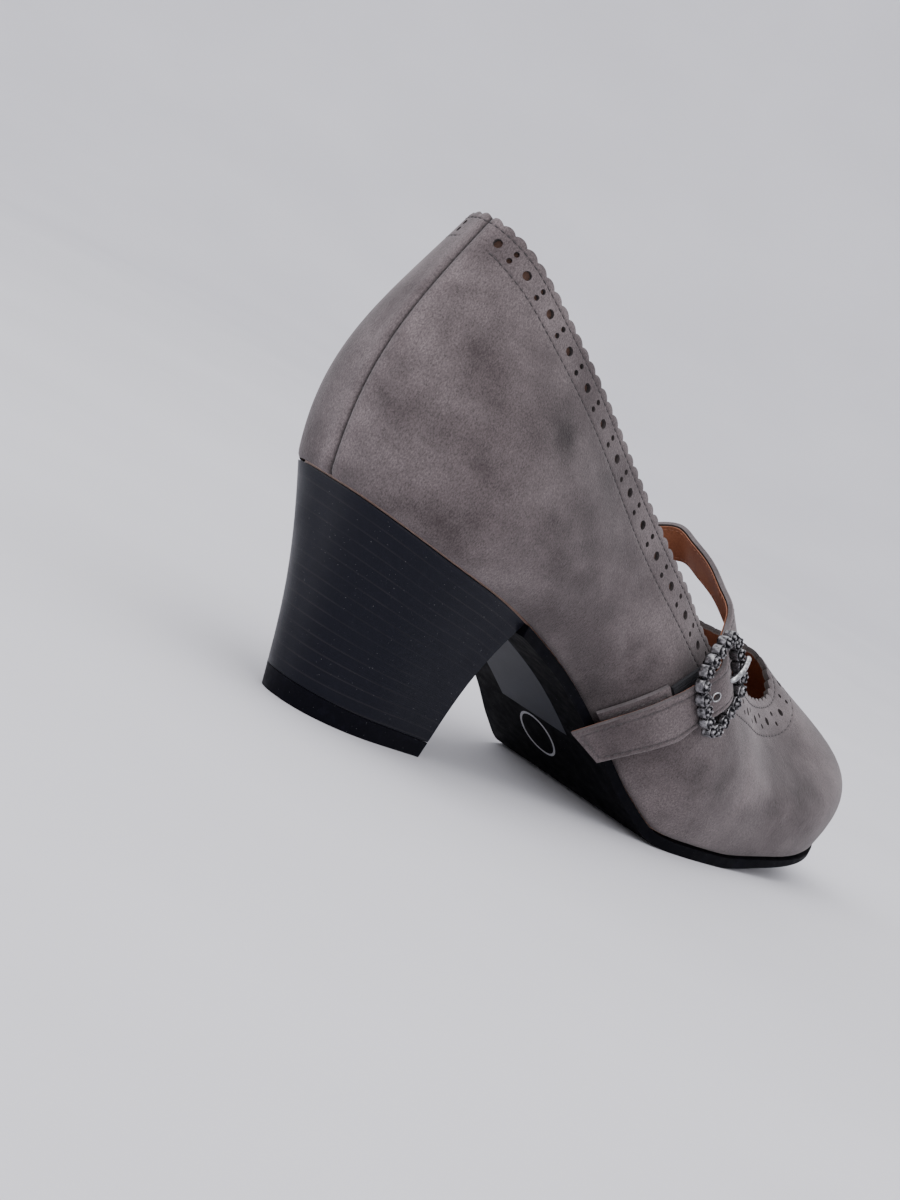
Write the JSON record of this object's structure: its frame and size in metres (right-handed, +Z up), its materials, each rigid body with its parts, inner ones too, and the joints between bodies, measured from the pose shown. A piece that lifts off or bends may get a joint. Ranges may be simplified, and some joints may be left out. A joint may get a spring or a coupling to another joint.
{
  "type": "dirndl pump",
  "caption": "Right folk-dress pump in grey suede with a block heel, a strap over the instep and an ornate buckle on the outer side.",
  "frame": {"origin": "middle of the heel's floor face", "axes": "+Y towards the toe, +X towards the outer side of the foot, +Z up"},
  "size_m": [0.0862, 0.2491, 0.1303],
  "materials": {
    "suede": "grey-taupe suede with a fine nap",
    "insole_leather": "smooth pinkish-beige lining leather",
    "lining_leather": "smooth cognac lining leather",
    "sole_black": "smooth matt black sole",
    "heel_black": "satin black stacked look with fine lines",
    "elastic_black": "matt black elastic",
    "old_silver": "old silver, dark in the hollows"
  },
  "bodies": {
    "root": {"upper": "suede", "insole": "insole_leather", "outsole": "sole_black", "heel_block": "heel_black", "heel_top_piece": "sole_black", "strap": "suede", "anchor_tab": "suede", "elastic_loop": "elastic_black", "buckle_frame": "old_silver", "buckle_prong": "old_silver"}
  },
  "joints": []
}
